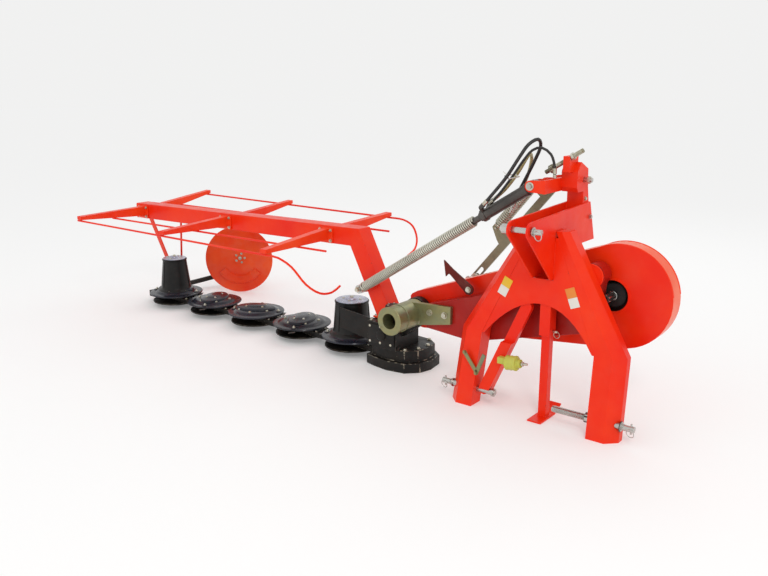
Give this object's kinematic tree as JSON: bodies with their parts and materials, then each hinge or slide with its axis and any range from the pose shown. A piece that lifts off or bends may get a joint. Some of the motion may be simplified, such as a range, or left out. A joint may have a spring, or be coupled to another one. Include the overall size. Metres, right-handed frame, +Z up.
{
  "type": "rear mounted disc mower",
  "caption": "Rear mounted disc mower: red headstock with belt drive, folding mowing unit with drum-topped discs under a bare tarp frame, on its parking stand.",
  "frame": {"origin": "middle of the footprint, on the ground", "axes": "+X along the cutter bar towards the headstock, -Y towards the tractor, +Z up"},
  "size_m": [3.6986, 1.2262, 1.2697],
  "materials": {
    "red_paint": "glossy paint, scuffed at the edges",
    "dark_red_paint": "worn dark paint",
    "black_paint": "black paint over castings",
    "disc_paint": "dark blue-grey paint",
    "olive_zinc": "yellow-olive zinc plating",
    "bright_steel": "bare turned steel",
    "spring_steel": "pale grey spring steel",
    "yellow_green_paint": "yellow-green paint",
    "black_rubber": "hose cover",
    "yellow_rubber": "hose cover"
  },
  "bodies": {
    "headstock": {"arch_plate": "red_paint", "left_leg": "red_paint", "right_leg": "red_paint", "left_mast_plate": "red_paint", "right_mast_plate": "red_paint", "mast_head": "red_paint", "head_lugs": "red_paint", "head_pin": "bright_steel", "head_cross_pin": "bright_steel", "top_link_pin": "bright_steel", "left_hitch_pin": "bright_steel", "right_hitch_pin": "bright_steel", "arm_hinge_boss": "red_paint", "arm_pivot_pin": "bright_steel", "stand_sleeve": "red_paint", "adjusting_rod": "bright_steel", "diagonal_brace": "red_paint", "breakaway_spring": "yellow_green_paint"},
    "stand": {"parking_stand": "red_paint"},
    "main_arm": {"arm_beam": "red_paint", "belt_guard": "red_paint", "pivot_arm": "olive_zinc", "relief_pin": "bright_steel"},
    "input": {"input_shaft": "bright_steel"},
    "hook": {"transport_hook": "dark_red_paint"},
    "relief_link": {"relief_bar": "olive_zinc", "relief_spring": "spring_steel"},
    "lift_cylinder": {"lift_barrel": "black_paint", "black_hose": "black_rubber", "black_coupler": "bright_steel", "yellow_hose": "yellow_rubber", "yellow_coupler": "bright_steel"},
    "lift_piston": {"lift_rod": "bright_steel", "lift_spring": "spring_steel"},
    "mowing_unit": {"cutter_bar": "black_paint", "inner_shoe": "black_paint", "gearbox": "black_paint", "inner_shield": "black_paint", "carrier_tube": "red_paint", "lift_lug": "red_paint", "swath_arm": "black_paint", "outer_strap": "red_paint", "inner_strap": "red_paint", "front_outer_rod": "red_paint", "front_inner_rod": "red_paint", "rear_inner_rod": "red_paint", "rear_outer_rod": "red_paint", "front_rib_1": "red_paint", "front_rib_2": "red_paint", "front_rib_3": "red_paint", "rear_rib_1": "red_paint", "rear_rib_2": "red_paint", "rear_rib_3": "red_paint"},
    "swath_wheel": {"swath_disc": "red_paint"},
    "cutting_disc_1": {"disc_1": "disc_paint"},
    "cutting_disc_2": {"disc_2": "disc_paint"},
    "cutting_disc_3": {"disc_3": "disc_paint"},
    "cutting_disc_4": {"disc_4": "disc_paint"},
    "cutting_disc_5": {"disc_5": "disc_paint"}
  },
  "joints": [
    {"name": "stand_slide", "type": "slide", "parent": "headstock", "child": "stand", "axis": [0, 0, 1], "range_m": [0, 0.22]},
    {"name": "arm_float", "type": "hinge", "parent": "headstock", "child": "main_arm", "pos_m": [1.5217, -0.06308, 0.69], "axis": [0, 1, 0], "range_deg": [-4, 5]},
    {"name": "input_spin", "type": "hinge", "parent": "main_arm", "child": "input", "pos_m": [1.5817, -0.06308, 0.59], "axis": [0, 1, 0], "continuous": true},
    {"name": "hook_swing", "type": "hinge", "parent": "main_arm", "child": "hook", "pos_m": [0.8667, -0.13908, 0.515], "axis": [0, 1, 0], "range_deg": [-6, 50]},
    {"name": "mowing_unit_fold", "type": "hinge", "parent": "main_arm", "child": "mowing_unit", "pos_m": [0.5467, -0.06308, 0.345], "axis": [0, 1, 0], "range_deg": [-10, 90]},
    {"name": "relief_link_swing", "type": "hinge", "parent": "headstock", "child": "relief_link", "pos_m": [1.2167, 0.08692, 1.06], "axis": [0, 1, 0], "range_deg": [-4, 5]},
    {"name": "lift_cylinder_swing", "type": "hinge", "parent": "headstock", "child": "lift_cylinder", "pos_m": [1.2167, -0.17308, 1.06], "axis": [0, 1, 0], "range_deg": [-0.1, 0.5]},
    {"name": "lift_rod_slide", "type": "slide", "parent": "lift_cylinder", "child": "lift_piston", "axis": [0.8459, 0, 0.5334], "range_m": [-0.06, 0.503], "deforming": ["lift_spring"]},
    {"name": "swath_disc_spin", "type": "hinge", "parent": "mowing_unit", "child": "swath_wheel", "pos_m": [-1.5083, 0.49692, 0.245], "axis": [0.6157, -0.788, 0], "continuous": true},
    {"name": "disc_1_spin", "type": "hinge", "parent": "mowing_unit", "child": "cutting_disc_1", "pos_m": [0.0277, -0.04308, 0.1], "axis": [0, 0, 1], "continuous": true},
    {"name": "disc_2_spin", "type": "hinge", "parent": "mowing_unit", "child": "cutting_disc_2", "pos_m": [-0.3723, -0.04308, 0.1], "axis": [0, 0, 1], "continuous": true},
    {"name": "disc_3_spin", "type": "hinge", "parent": "mowing_unit", "child": "cutting_disc_3", "pos_m": [-0.7723, -0.04308, 0.1], "axis": [0, 0, 1], "continuous": true},
    {"name": "disc_4_spin", "type": "hinge", "parent": "mowing_unit", "child": "cutting_disc_4", "pos_m": [-1.1723, -0.04308, 0.1], "axis": [0, 0, 1], "continuous": true},
    {"name": "disc_5_spin", "type": "hinge", "parent": "mowing_unit", "child": "cutting_disc_5", "pos_m": [-1.5723, -0.04308, 0.1], "axis": [0, 0, 1], "continuous": true}
  ],
  "couplings": [
    {"joint": "disc_2_spin", "follows": "disc_1_spin", "ratio": -1},
    {"joint": "disc_3_spin", "follows": "disc_1_spin", "ratio": 1},
    {"joint": "disc_4_spin", "follows": "disc_1_spin", "ratio": -1},
    {"joint": "disc_5_spin", "follows": "disc_1_spin", "ratio": 1},
    {"joint": "lift_cylinder_swing", "follows": "mowing_unit_fold", "ratio": 0.003975},
    {"joint": "lift_rod_slide", "follows": "mowing_unit_fold", "m_per_rad": 0.31784},
    {"joint": "relief_link_swing", "follows": "arm_float", "ratio": 0.88}
  ]
}
